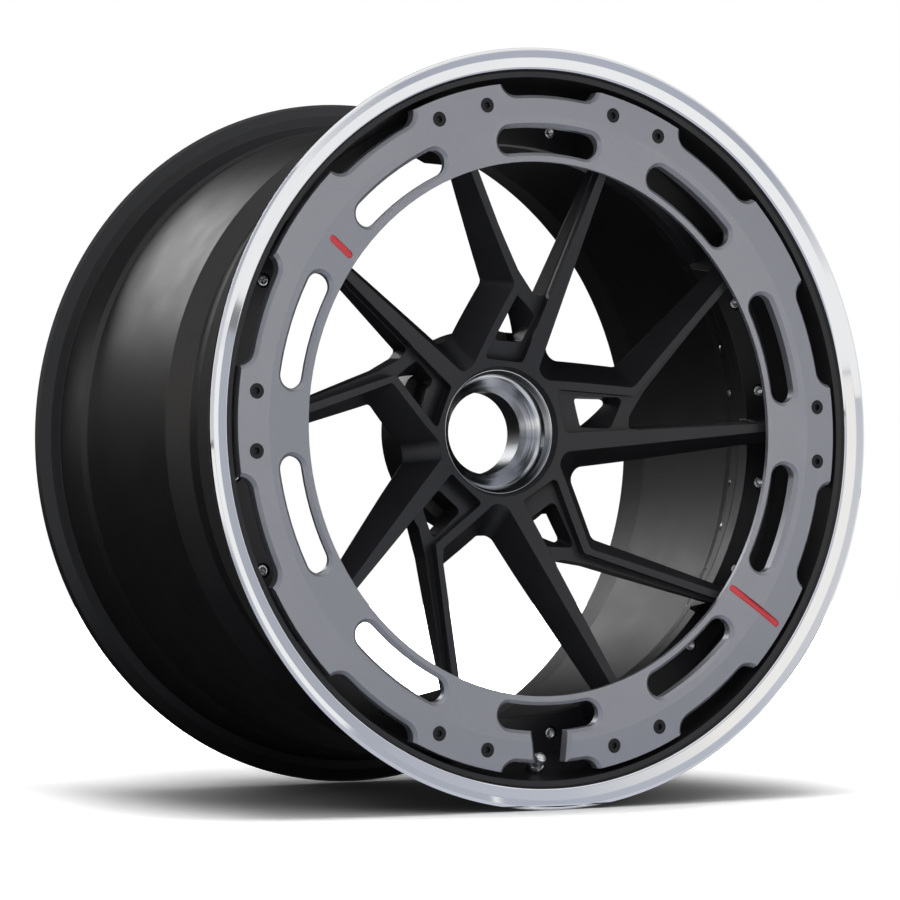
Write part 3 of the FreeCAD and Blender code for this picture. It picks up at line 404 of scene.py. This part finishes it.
# %% Outer lip
lip_profile = [
    (223.0, 72.0, 0.4), (249.0, 72.0, 0.2), (249.0, 62.0, 0.3),  # bolt flange
    (263.3, 1.4, 0.3), (267.2, 0.2, 0.3),  # coned wall and step
    (269.2, -3.4, 2.8), (277.2, -6.2, 6.0), (282.2, -9.0, 0.7), (284.2, -7.4, 0.9),  # flare
    (283.4, -3.6, 1.5), (277.0, 3.0, 3.0), (268.0, 5.6, 1.2), (266.4, 9.0, 1.5),  # tyre side
    (264.8, 36.0, 12.0), (254.5, 60.0, 8.0),  # bead seat and hump
    (254.5, 79.0, 0.4), (223.0, 79.0, 0.4)]  # back of the bolt flange
lip = turned_piece("lip_ring", lip_profile, 360, polished, "polished_lip", "outer_lip")
coat(lip, lip_profile, 0, 5, black_barrel)
coat(lip, lip_profile, 9, 15, black_seat)
coat(lip, lip_profile, 15, 17, black_barrel)

# %% [markdown]
# The inner barrel carries the rear half of the tyre: a bolt flange, the drop well, a long drum,
# and the rear bead seat with its rolled flange. Its bore has a small step near the back. A bead
# of rubber seals the joint between the two rim halves.

# %% Inner barrel and seal
barrel_profile = [
    (223.0, 79.0, 0.4), (245.0, 79.0, 0.4), (245.0, 113.5, 5.0),  # bolt flange and drop well
    (255.8, 133.1, 3.0), (257.0, 281.0, 2.0),  # drum
    (259.8, 287.0, 2.0), (265.5, 316.0, 0.6), (273.0, 317.0, 2.0),  # bead seat
    (281.5, 321.0, 1.5), (283.8, 324.4, 0.9), (282.0, 326.0, 0.8), (274.0, 324.0, 5.0),  # flange
    (267.8, 321.5, 2.0), (261.2, 310.0, 6.0), (253.4, 263.0, 0.6),  # bore, up to its step
    (251.2, 263.0, 0.6), (250.4, 136.0, 6.0), (240.6, 115.5, 5.0),  # bore, on to the well
    (240.6, 86.0, 0.5), (223.0, 86.0, 0.5)]  # back of the bolt flange
turned_piece("barrel_ring", barrel_profile, 360, black_barrel, "black_barrel", "inner_barrel")
seal_profile = [(245.0, 79.0, 0.1), (249.0, 79.0, 0.5), (245.0, 83.0, 0.5)]
turned_piece("seal_bead", seal_profile, 240, rubber, "seal_rubber", "rim_seal")

# %% [markdown]
# The hub insert is the bright ring in the middle. The centre nut seats on its cone, so the cone is
# fine-turned: rings of tool marks fan the light out into streaks, partly real reflection and partly
# painted into its colour. Outside the cone run a thin groove and a land that curves forward to the
# mouth of the hub. The bore is ground.

# %% Hub insert
insert_profile = [
    (32.0, 121.0, 0.6), (32.0, 101.2, 0.6), (41.5, 90.0, 0.5),  # bore and cone
    (42.9, 88.6, 0.15), (43.3, 89.2, 0.15), (43.8, 88.0, 0.3),  # groove
    (44.6, 84.2, 3.0), (47.2, 78.0, 0.3), (47.8, 78.0, 0.2),  # land
    (47.0, 81.5, 0.2), (47.0, 121.0, 0.4)]  # outside, in the centre
insert = turned_piece("insert_ring", insert_profile, 256, turned, "machined_insert", "hub_insert")
coat(insert, insert_profile, 0, 1, ground)

# %% [markdown]
# The forged centre and the ring plate are milled, not turned, and their solids already have every
# wall and bevel. They stay as they are and only get their finish.

# %% Centre and ring plate
for node, finish in (("centre_disc", black_centre), ("aero_ring", grey_plate)):
    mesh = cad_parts[node].data
    mesh.materials.clear()
    mesh.materials.append(finish)
    print(node, len(mesh.polygons), "triangles")

# %% [markdown]
# A bolt head or a nut is nearly turned, except that its radius changes round the turn: six flats
# on a nut, twelve points on a rim bolt, fine ribs on a knurled cap. Each is a function that gives
# the radius for a turn.


# %% Shapes of heads
def hexagon(t):
    """Radius of a hexagon with corners at radius 1: cos 30 / cos of the angle from the middle of a
    flat."""
    return np.cos(np.pi / 6) / np.cos(np.mod(t, np.pi / 3) - np.pi / 6)


def twelve_points(t):
    """Outline of two hexagons turned 30 degrees to each other: the larger of the two radii."""
    return np.maximum(hexagon(t), hexagon(t + np.pi / 6))


def knurl(t):
    """Twenty-four rounded ribs: radius 1 - 0.05 (1 - |cos 12 t|)."""
    return 1 - 0.05 * (1 - np.abs(np.cos(12 * t)))


dip = round(float(twelve_points(np.radians(15.0))), 3)
print("a twelve-point head dips to", dip, "of its radius")

# %% [markdown]
# One grid does for all fasteners: rows of radius and place along the fastener, each of which uses
# the shape fully, partly or not at all. Copies of it are turned and moved to their places round
# the wheel. Where the rows end on the fastener's own line, the points there are merged into one.


# %% Fastener grid
SHARP_EDGE = 35.0  # degrees


def lobed(profile, shape, steps):
    """Rows (r, y, w) carried round a line: radius r (1 - w + w shape(t)), so w says how much of
    the shape shows."""
    r, y, w = np.array(profile, float).T[:, :, None]
    t = np.linspace(0, 2 * np.pi, steps, endpoint=False)[None, :]
    radius = r * (1 - w + w * shape(t))
    return np.stack([radius * np.sin(t), y + 0 * t, radius * np.cos(t)], -1)


def tidy_mesh(mesh):
    """Merges the poles, turns the faces outwards and marks the sharp edges."""
    work = bmesh.new()
    work.from_mesh(mesh)
    bmesh.ops.remove_doubles(work, verts=work.verts, dist=1e-6)
    bmesh.ops.recalc_face_normals(work, faces=work.faces)
    work.to_mesh(mesh)
    work.free()
    mesh.set_sharp_from_angle(angle=np.radians(SHARP_EDGE))


def fastener(name, profile, shape, steps, places, finish, slot, *stands_for):
    """Copies of a lobed grid, moved by rows of (turn about Y, shift): p goes to turn(p) + shift."""
    grid = lobed(profile, shape, steps)
    rows, columns = grid.shape[:2]
    turn, shift = places
    points = np.einsum("nij,pj->npi", turn, grid.reshape(-1, 3)) + shift[:, None]
    one = grid_faces(rows, columns, close_rows=False)
    faces = one[None] + (np.arange(len(turn)) * rows * columns)[:, None, None]
    thing = piece(name, points.reshape(-1, 3), faces.reshape(-1, 4), finish, slot, *stands_for)
    tidy_mesh(thing.data)


def round_circle(clock, radius):
    """Places at clock angles on a circle about the axle: turned with the clock and moved out by
    the radius."""
    c, s = np.cos(np.radians(clock)), np.sin(np.radians(clock))
    none = 0 * c
    turn = np.stack([np.stack([c, none, s], -1), np.stack([none, none + 1, none], -1),
                     np.stack([-s, none, c], -1)], -2)
    return turn, np.stack([radius * s, none + DATUM, radius * c], -1)


print("edges sharper than", SHARP_EDGE, "degrees stay sharp")

# %% [markdown]
# Twenty plated bolts clamp centre, lip and barrel together. From the front one sees a twelve-point
# head with a hollow socket; behind the barrel's flange each has a nut, and between the nuts stand
# twenty cap screws that hold the two rim halves.

# %% Rim bolts, nuts and cap screws
BOLT_CIRCLE = 234.8
cap_clock = 18.0 * np.arange(20)
bolt_clock = 9.0 + cap_clock
bolt_rows = [(0, 65.6, 0), (2.1, 65.6, 0), (2.4, 65.3, 0), (2.5, 63.0, 0), (2.9, 62.6, 0),
             (3.6, 62.6, 0.3), (4.4, 62.9, 0.9), (4.7, 63.3, 1), (4.7, 66.4, 1), (4.8, 66.6, 0.4),
             (5.2, 66.8, 0), (5.2, 68.0, 0), (3.0, 68.0, 0), (3.0, 102.6, 0), (2.4, 103.5, 0),
             (0, 103.5, 0)]
fastener("rim_bolts", bolt_rows, twelve_points, 48, round_circle(bolt_clock, BOLT_CIRCLE), nickel,
         "bright_fasteners", "assembly_bolts")
nut_rows = [(3.0, 86.0, 0), (5.2, 86.0, 0), (5.2, 87.3, 0), (4.95, 87.7, 0.6), (5.1, 88.0, 1),
            (5.1, 95.9, 1), (4.7, 97.0, 0.3), (3.5, 97.0, 0), (3.05, 96.5, 0), (3.0, 86.0, 0)]
fastener("rim_nuts", nut_rows, hexagon, 36, round_circle(bolt_clock, BOLT_CIRCLE), ground,
         "bright_fasteners", "assembly_nuts")
cap_rows = [(0, 67.0, 0), (2.5, 67.0, 0), (3.0, 67.5, 0), (3.0, 86.0, 0), (5.2, 86.0, 0),
            (5.2, 87.0, 0), (5.15, 87.2, 1), (5.15, 98.6, 1), (4.9, 99.4, 0), (4.4, 100.0, 0),
            (2.9, 100.0, 0), (2.6, 99.7, 0), (2.6, 96.0, 0), (0, 96.0, 0)]
fastener("rim_cap_screws", cap_rows, knurl, 48, round_circle(cap_clock, BOLT_CIRCLE), ground,
         "bright_fasteners", "rear_bolts")

# %% [markdown]
# The ring plate is held by twelve black countersunk screws, two on each of six lands. Each head is
# flush with the plate and has a hexagon socket.

# %% Ring screws
SCREW_CIRCLE = 245.0
lands = np.array([-18.0, 18.0, 90.0, 162.0, 198.0, 270.0])
screw_clock = (lands[:, None] + np.array([-5.0, 5.0])).ravel()
screw_rows = [(0, 2.6, 0), (2.25, 2.6, 1), (2.35, 2.4, 1), (2.45, 0.5, 1), (2.7, 0.15, 0.5),
              (3.0, 0.1, 0), (5.2, 0.1, 0), (5.6, 0.25, 0), (5.5, 0.5, 0), (2.9, 2.95, 0),
              (2.9, 20.4, 0), (2.4, 21.0, 0), (0, 21.0, 0)]
fastener("plate_screws", screw_rows, hexagon, 36, round_circle(screw_clock, SCREW_CIRCLE), oxide,
         "black_screws", "ring_screws")

# %% [markdown]
# Five steel bushes in the back of the hub take the drive pins.

# %% Drive bushes
PIN_CIRCLE = 63.0
pin_clock = 108.0 + 72.0 * np.arange(5)
bush_rows = [(5.5, 103.4, 0), (7.6, 103.0, 0), (8.0, 103.4, 0), (8.0, 120.6, 0), (7.6, 121.0, 0),
             (6.1, 121.0, 0), (5.5, 120.4, 0), (5.5, 103.4, 0)]
fastener("pin_bushes", bush_rows, np.ones_like, 48, round_circle(pin_clock, PIN_CIRCLE), ground,
         "steel_bush", "drive_bushes")

# %% [markdown]
# The tyre valve leans forward out of the lip's wall at six o'clock: a rubber grommet, a plated
# stem with a hexagon nut, and a knurled cap. All of them are rows round one leaning line.

# %% Tyre valve
tilt = np.radians(47.8)
lean = np.array([[[1, 0, 0], [0, -np.sin(tilt), np.cos(tilt)], [0, np.cos(tilt), np.sin(tilt)]]])
valve_line = (lean, np.array([[0.0, 27.6 + DATUM, -256.9]]))
grommet_rows = [(3.4, -15.0, 0), (5.6, -15.0, 0), (6.0, -14.6, 0), (6.0, 3.6, 0), (5.5, 4.5, 0),
                (3.4, 4.5, 0), (3.4, -15.0, 0)]
stem_rows = [(0, -17.0, 0), (3.0, -17.0, 0), (3.4, -16.6, 0), (3.4, 10.6, 0), (3.0, 11.0, 0),
             (0, 11.0, 0)]
hex_rows = [(3.4, 4.5, 0), (5.6, 4.5, 0.6), (6.2, 4.9, 1), (6.2, 7.0, 1), (5.6, 7.5, 0.5),
            (3.4, 7.5, 0), (3.4, 4.5, 0)]
top_rows = [(3.4, 7.9, 0), (4.2, 7.9, 0), (4.6, 8.3, 0.5), (4.6, 15.2, 1), (4.3, 16.0, 0.3),
            (3.6, 16.6, 0), (2.4, 16.9, 0), (0, 16.9, 0)]
fastener("valve_seal", grommet_rows, np.ones_like, 36, valve_line, rubber, "seal_rubber",
         "valve_grommet")
fastener("valve_tube", stem_rows, np.ones_like, 36, valve_line, nickel, "valve_metal",
         "valve_stem")
fastener("valve_hex", hex_rows, hexagon, 36, valve_line, nickel, "valve_metal", "valve_nut")
fastener("valve_top", top_rows, knurl, 96, valve_line, nickel, "valve_metal", "valve_cap")

# %% [markdown]
# Two red enamel marks lie in milled grooves of the ring plate. Enamel is poured, so its surface is
# a soft crown that meets the groove in a round edge. The grid runs round the pill in one direction
# and from its underside over the rim to the crest in the other.


# %% Enamel marks
HALF_WIDTH, UNDERSIDE = 2.7, 6.2
PLATE_EDGE, PLATE_DROP, PLATE_RUN = 234.5, 4.8, 33.9  # inside this radius the plate's face slopes
SUNK, CROWN = 0.35, 0.45


def enamel_mark(name, clock, inner, outer, node):
    """A pill from radius inner to outer, whose rows have half width w = 2.7 - inset. The enamel
    lies 0.35 mm below the plate's face at its edge and rises by 0.45 (1 - (w / 2.7)^2)."""
    inset = np.array([HALF_WIDTH, 0.0, 0.0, 0.12, 0.4, 0.9, 1.5, 2.1, HALF_WIDTH])[:, None]
    above = np.array([0.0, 0.0, 1.0, 1.0, 1.0, 1.0, 1.0, 1.0, 1.0])[:, None]
    width = HALF_WIDTH - inset
    t = np.linspace(0, 2 * np.pi, 64, endpoint=False)[None, :]
    out = np.where(np.cos(t) > 0, outer, inner) + width * np.cos(t)
    across = width * np.sin(t)
    face = np.clip((PLATE_EDGE - out) * PLATE_DROP / PLATE_RUN, 0, None)
    crown = face + SUNK - CROWN * (1 - (width / HALF_WIDTH) ** 2)
    y = np.where(above > 0, crown, UNDERSIDE) + DATUM
    c, s = np.cos(np.radians(clock)), np.sin(np.radians(clock))
    points = np.stack([out * s + across * c, y, out * c - across * s], -1).reshape(-1, 3)
    faces = grid_faces(len(inset), t.size, close_rows=False)
    thing = piece(name, points, faces, enamel, "red_enamel", node)
    tidy_mesh(thing.data)


enamel_mark("short_mark", 306.0, 208.2, 226.3, "red_mark_short")
enamel_mark("long_mark", 126.0, 205.2, 251.8, "red_mark_long")

# %% [markdown]
# The stage is a pale floor in a white room. To the camera the floor is as white as the room,
# because its colour is lifted for sight only, most far away. Under the wheel it is lowered instead,
# in an oval: a painted shadow laid over the real one. Another way is more light, but that would
# bleach the wheel.

# %% Floor
FLOOR_REACH = 9.0
FLECK = 3.0  # mm
# painted shadow: to the camera the floor's colour drops to 0.27 under the wheel and rises to 1.4 at
# this oval's edge
SHADOW_X, SHADOW_Y = 170.0, 140.0  # half lengths of the shadow's oval, in mm
PAINTED_SHADOW_LIFT = {1: 0.7, 2: 2.1, 3: 0.27, 4: 1.4}  # between these sizes of the oval, from and to
FAR_LIFT = {1: 400.0, 2: 2000.0, 3: 0.0, 4: 9.0}  # between these distances in mm, from and to
ground_z = cad_low.z
square = np.array([[-1, -1], [1, -1], [1, 1], [-1, 1]], float)
floor_mesh = bpy.data.meshes.new("floor")
floor_corners = np.c_[FLOOR_REACH * square, np.full(4, ground_z)]
floor_mesh.from_pydata(floor_corners.tolist(), [], [(0, 1, 2, 3)])
floor = bpy.data.objects.new("floor", floor_mesh)
scene.collection.objects.link(floor)
# matt painted board: nearly white, with a fleck that only just shows
pale, tree, surface, mm = new_finish("pale_studio_floor")
seen = add(tree, "LightPath").outputs["Is Camera Ray"]
fleck = add(tree, "TexNoise", {"Vector": mm, "Scale": 1 / FLECK}).outputs["Fac"]
colour = add(tree, "MixRGB", {"Fac": fleck, "Color1": linear("#E6E7EA"),
                              "Color2": linear("#ECEDF0")}).outputs[0]
# painted shadow under the wheel, darker than the floor's own colour, on top of the real shadow
oval = add(tree, "VectorMath", {0: mm, 1: (1 / SHADOW_X, 1 / SHADOW_Y, 0.0)}, operation="MULTIPLY")
under = add(tree, "VectorMath", {0: oval.outputs[0]}, operation="LENGTH").outputs["Value"]
near = add(tree, "MapRange", {0: under, **PAINTED_SHADOW_LIFT}, interpolation_type="SMOOTHSTEP").outputs[0]
away = add(tree, "VectorMath", {0: mm}, operation="LENGTH").outputs["Value"]
far = add(tree, "MapRange", {0: away, **FAR_LIFT}, interpolation_type="SMOOTHSTEP").outputs[0]
lift = add(tree, "Math", {0: near, 1: far}, operation="ADD").outputs[0]
lifted = add(tree, "MixRGB", {"Fac": seen, "Color1": colour, "Color2": lift}).outputs[0]
tree.links.new(add(tree, "BsdfDiffuse", {"Color": lifted}).outputs[0], surface)
floor_mesh.materials.append(pale)
print("floor at", round(ground_z * MM, 1), "mm")

# %% [markdown]
# The room is plain white for sight and for mirrors, and softer for the light that it sheds. A
# white room that also lit the wheel at full strength would wash out its shadow.

# %% White room
SIGHT_STRENGTH, LIGHT_STRENGTH = 1.0, 0.28
room = bpy.data.worlds.new("white_room")
scene.world = room
room.use_nodes = True
tree = room.node_tree
tree.nodes.clear()
seen = add(tree, "LightPath").outputs
sight = add(tree, "Math", {0: seen["Is Camera Ray"], 1: seen["Is Glossy Ray"]},
            operation="MAXIMUM").outputs[0]
sight = add(tree, "Math", {0: sight, 1: seen["Is Transmission Ray"]},
            operation="MAXIMUM").outputs[0]
white = add(tree, "Background", {"Color": linear("#FFFFFF"), "Strength": SIGHT_STRENGTH}).outputs[0]
soft = add(tree, "Background", {"Color": linear("#FFFFFF"), "Strength": LIGHT_STRENGTH}).outputs[0]
both = add(tree, "MixShader", {0: sight, 1: soft, 2: white}).outputs[0]
tree.links.new(both, add(tree, "OutputWorld").inputs["Surface"])
print("made", room.name)

# %% [markdown]
# Three softboxes model the shapes: a large one above that presses the shadow down under the wheel,
# a key from the left and a fill from the right.


# %% Softboxes
def softbox(name, place, size, power):
    """A square area lamp at a place, aimed at the middle of the wheel; mirrors show the cards
    instead."""
    lamp = bpy.data.lights.new(name, "AREA")
    lamp.shape, lamp.size, lamp.energy = "SQUARE", size, power
    box = bpy.data.objects.new(name, lamp)
    scene.collection.objects.link(box)
    box.location = place
    box.rotation_euler = (-box.location).to_track_quat("-Z", "Y").to_euler()
    box.visible_camera = False
    box.visible_glossy = False
    print(name, power, "W")


softbox("top_softbox", (-0.2, -0.4, 2.6), 1.4, 55.0)
softbox("key_softbox", (-1.8, -2.2, 1.6), 1.6, 30.0)
softbox("fill_softbox", (2.4, -2.0, 1.2), 1.6, 15.0)

# %% [markdown]
# What makes black paint look black and polish look bright is what they mirror. A photographer
# stands black flags behind a dark object and white or tinted cards in front of it. These cards do
# the same: only mirrors see them, so they shape the reflections and leave the light as it is. A
# card of one tone ends in a hard line on the polish, so the two large ones in front blend from
# tone to tone.


# %% Cards and flags
def card(name, middle, across, up, *tones, strength=1.0, heart=(0.0, 0.0, 0.0), reach=1.0):
    """A flat glowing card: corners at middle plus or minus half of its two edge vectors. With more
    than one tone they blend outwards from the heart; each is (share of the reach in m, colour)."""
    middle, across, up = (np.array(v, float) for v in (middle, across, up))
    sides = 0.5 * square
    corners = middle + sides[:, :1] * across + sides[:, 1:] * up
    mesh = bpy.data.meshes.new(name)
    mesh.from_pydata(corners.tolist(), [], [(0, 1, 2, 3)])
    finish, tree, surface, mm = new_finish(name + "_card")
    glow = add(tree, "Emission", {"Color": linear(tones[0][1]), "Strength": strength})
    if len(tones) > 1:
        away = add(tree, "VectorMath", {0: mm, 1: tuple(MM * x for x in heart)},
                   operation="DISTANCE").outputs["Value"]
        share = add(tree, "MapRange", {0: away, 2: MM * reach}).outputs[0]
        blend = add(tree, "ValToRGB", {"Fac": share}, stops=tones).outputs[0]
        tree.links.new(blend, glow.inputs["Color"])
    tree.links.new(glow.outputs[0], surface)
    mesh.materials.append(finish)
    thing = bpy.data.objects.new(name, mesh)
    scene.collection.objects.link(thing)
    for ray in ("camera", "diffuse", "transmission", "volume_scatter", "shadow"):
        setattr(thing, "visible_" + ray, False)
    print("card", name)


flag_z, card_z = ground_z + 0.003, ground_z + 0.004
card("black_back_flag", (0.0, 4.2, 4.2), (16.0, 0, 0), (0, 0, 11.0), (0, "#0C0C0D"))
card("dark_floor_flag", (0.0, 1.95, flag_z), (12.0, 0, 0), (0, 4.3, 0), (0, "#222224"))
card("sheen_card", (-0.85, 3.9, 1.95), (1.8, 0, 0), (0, 0, 1.6), (0, "#FFFFFF"), strength=4.2)
card("side_sheen_card", (-2.8, 2.8, 0.9), (1.0, 1.0, 0), (0, 0, 1.0), (0, "#FFFFFF"), strength=1.2)
card("front_card", (-1.0, -6.5, 5.7), (20.0, 0, 0), (0, 0, 12.0), (0.0, "#FFFFFF"),
     (0.2, "#FFFCF7"), (0.45, "#C4C8D2"), (1.0, "#B4B8C4"), heart=(1.3, -6.5, 1.2), reach=9.0)
card("grey_left_card", (-8.0, -4.2, 3.7), (0, 4.8, 0), (0, 0, 8.0), (0, "#D8DBE3"))
card("grey_right_card", (8.0, -4.6, 3.7), (0, 4.0, 0), (0, 0, 8.0), (0, "#B4B8C2"))
card("cream_left_card", (-6.0, 1.1, 1.4), (0, 5.8, 0), (0, 0, 3.4), (0, "#FFF9F0"))
card("right_floor_card", (4.9, 0.2, card_z), (8.2, 0, 0), (0, 4.0, 0), (0, "#F4F5F7"))
card("front_floor_card", (0.3, -3.05, card_z), (9.0, 0, 0), (0, 5.9, 0), (0.0, "#D2D6E0"),
     (0.2, "#C3C7D3"), (0.33, "#AEB2BD"), (0.5, "#FFFFFF"), (1.0, "#FFFFFF"),
     heart=(0.2, -0.1, ground_z), reach=2.4)
